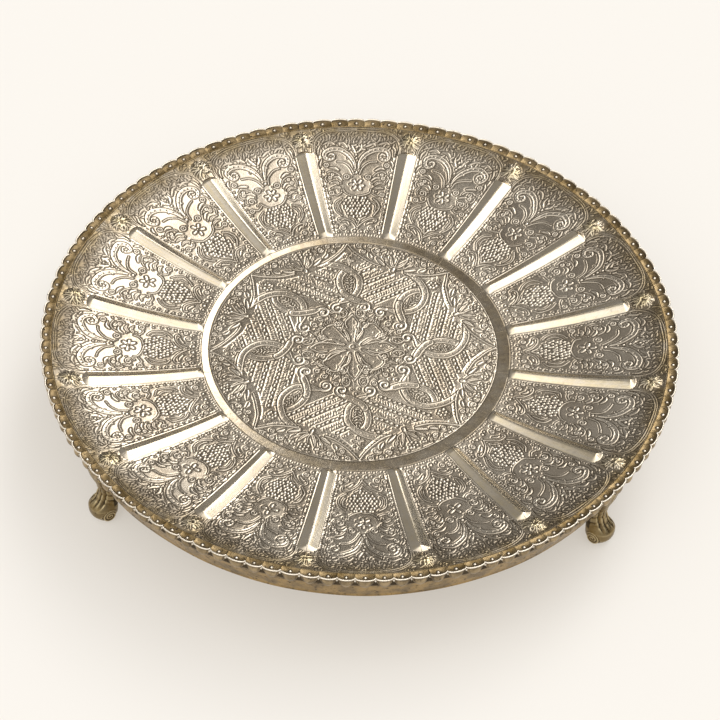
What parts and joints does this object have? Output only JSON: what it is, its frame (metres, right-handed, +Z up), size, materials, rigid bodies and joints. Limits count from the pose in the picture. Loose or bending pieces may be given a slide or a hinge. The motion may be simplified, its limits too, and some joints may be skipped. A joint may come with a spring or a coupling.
{
  "type": "scalloped tray",
  "caption": "Round footed serving tray with a flat medallion, a ribbed dish, a lobed border, a turned-under apron that leans in, and scroll feet.",
  "frame": {"origin": "on the ground under the tray's axis, at the middle of its bounding box", "axes": "+Z up along the tray's axis, -Y towards the middle front panel, between the two front feet"},
  "size_m": [0.3074, 0.3074, 0.0537],
  "materials": {
    "silvered_brass": "worn silvering over brass, dark patina in the chasing",
    "worn_border": "silvering rubbed through to brass, bright on the lip",
    "bare_brass": "aged brass with dark flecks"
  },
  "bodies": {
    "root": {"tray_sheet": "silvered_brass", "border_length_1": "worn_border", "border_length_2": "worn_border", "border_length_3": "worn_border", "border_length_4": "worn_border", "apron_band": "bare_brass", "foot_left": "bare_brass", "foot_right": "bare_brass", "foot_back": "bare_brass", "foot_rivet_left_1": "bare_brass", "foot_rivet_left_2": "bare_brass", "foot_rivet_right_1": "bare_brass", "foot_rivet_right_2": "bare_brass", "foot_rivet_back_1": "bare_brass", "foot_rivet_back_2": "bare_brass"}
  },
  "joints": []
}
